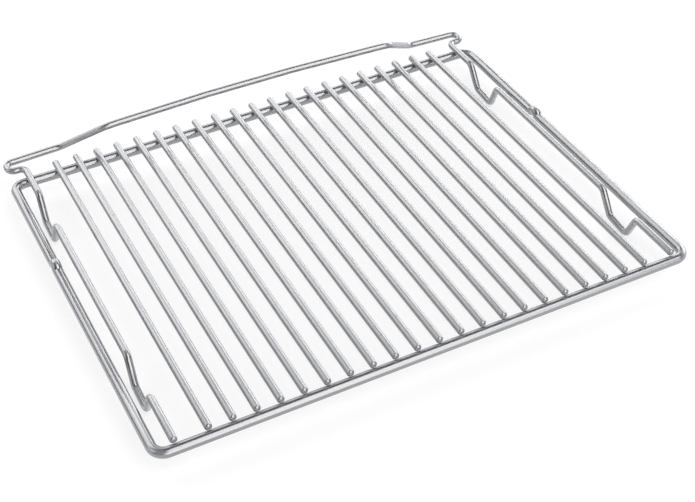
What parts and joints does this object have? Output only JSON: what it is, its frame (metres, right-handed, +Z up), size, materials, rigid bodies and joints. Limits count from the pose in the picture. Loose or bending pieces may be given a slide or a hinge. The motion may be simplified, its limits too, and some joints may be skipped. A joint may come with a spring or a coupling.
{
  "type": "oven shelf rack",
  "caption": "Chrome-plated wire oven shelf: a grid of straight bars on a bent wire ring, with bent feet and a raised rear fence.",
  "frame": {"origin": "on the floor under the feet, below the middle of the overall width and depth", "axes": "+X to the right of someone facing the shelf's front, +Y towards the rear fence, +Z up"},
  "size_m": [0.4656, 0.3775, 0.0543],
  "materials": {
    "chrome_wire": "bright chrome plating on drawn steel wire"
  },
  "bodies": {
    "root": {"frame_ring": "chrome_wire", "fence_wire": "chrome_wire", "cross_bar_01": "chrome_wire", "cross_bar_02": "chrome_wire", "cross_bar_03": "chrome_wire", "cross_bar_04": "chrome_wire", "cross_bar_05": "chrome_wire", "cross_bar_06": "chrome_wire", "cross_bar_07": "chrome_wire", "cross_bar_08": "chrome_wire", "cross_bar_09": "chrome_wire", "cross_bar_10": "chrome_wire", "cross_bar_11": "chrome_wire", "cross_bar_12": "chrome_wire", "cross_bar_13": "chrome_wire", "cross_bar_14": "chrome_wire", "cross_bar_15": "chrome_wire", "cross_bar_16": "chrome_wire", "cross_bar_17": "chrome_wire", "cross_bar_18": "chrome_wire", "cross_bar_19": "chrome_wire", "cross_bar_20": "chrome_wire", "cross_bar_21": "chrome_wire"}
  },
  "joints": []
}
